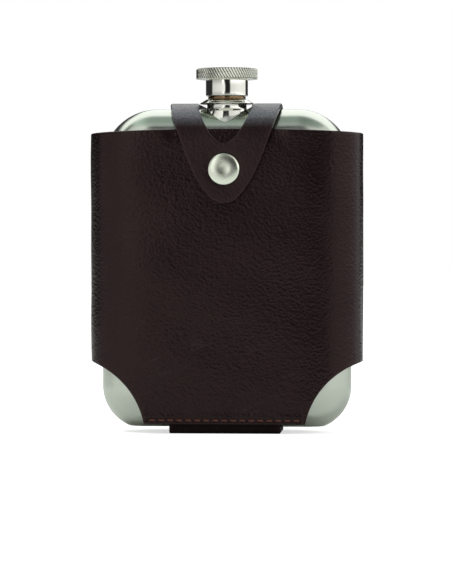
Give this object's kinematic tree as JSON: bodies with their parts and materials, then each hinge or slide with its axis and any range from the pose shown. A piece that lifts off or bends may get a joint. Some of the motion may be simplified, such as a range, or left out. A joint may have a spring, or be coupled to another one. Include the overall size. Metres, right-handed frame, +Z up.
{
  "type": "hip flask with leather sleeve",
  "caption": "Rounded steel hip flask with a knurled screw cap, in a dark leather sleeve closed by a tapered strap with a press snap.",
  "frame": {"origin": "middle of the flask's base, on the surface it stands on", "axes": "+Z up along the flask and its cap; the strap's snap is on the front, which faces -Y; +X to the right seen from the front"},
  "size_m": [0.1038, 0.0358, 0.1383],
  "materials": {
    "flask_steel": "satin body with polished shoulders",
    "neck_steel": "polished",
    "washer": "tan fibre washer, matt",
    "knob_metal": "nickel, fine slanted knurl",
    "barrel_chrome": "mirror polish",
    "insert_plastic": "moulded",
    "liner_rubber": "soft, matt",
    "sleeve_leather": "dark brown, fine grain with soft creases",
    "strap_leather": "dark brown, burnished edges",
    "thread": "waxed red-brown thread",
    "snap_metal": "nickel plate"
  },
  "bodies": {
    "root": {"flask_front_shell": "flask_steel", "flask_rear_shell": "flask_steel", "neck_base": "neck_steel", "neck_tube": "neck_steel", "neck_thread": "neck_steel", "neck_washer": "washer", "sleeve_wrap": "sleeve_leather", "strap_back": "strap_leather", "base_strap": "strap_leather", "front_stitches": "thread", "rear_stitches": "thread", "strap_stitches": "thread", "snap_stud": "snap_metal", "snap_eyelet": "snap_metal"},
    "liner": {"cap_liner": "liner_rubber"},
    "cap": {"cap_knob": "knob_metal", "cap_barrel": "barrel_chrome", "cap_insert": "insert_plastic", "cap_thread": "insert_plastic"},
    "tongue": {"strap_tongue": "strap_leather", "snap_cap": "snap_metal", "snap_socket": "snap_metal", "snap_spring": "snap_metal"}
  },
  "joints": [
    {"name": "tongue_lift", "type": "hinge", "parent": "root", "child": "tongue", "pos_m": [0, -0.00885, 0.12214], "axis": [-1, 0, 0], "range_deg": [0, 110]},
    {"name": "cap_lift", "type": "slide", "parent": "root", "child": "liner", "axis": [0, 0, 1], "range_m": [0, 0.005]},
    {"name": "cap_turn", "type": "hinge", "parent": "liner", "child": "cap", "pos_m": [0, 0, 0.136], "axis": [0, 0, 1], "range_deg": [0, 900]}
  ],
  "couplings": [
    {"joint": "cap_lift", "follows": "cap_turn", "m_per_rad": 0.00031831}
  ]
}
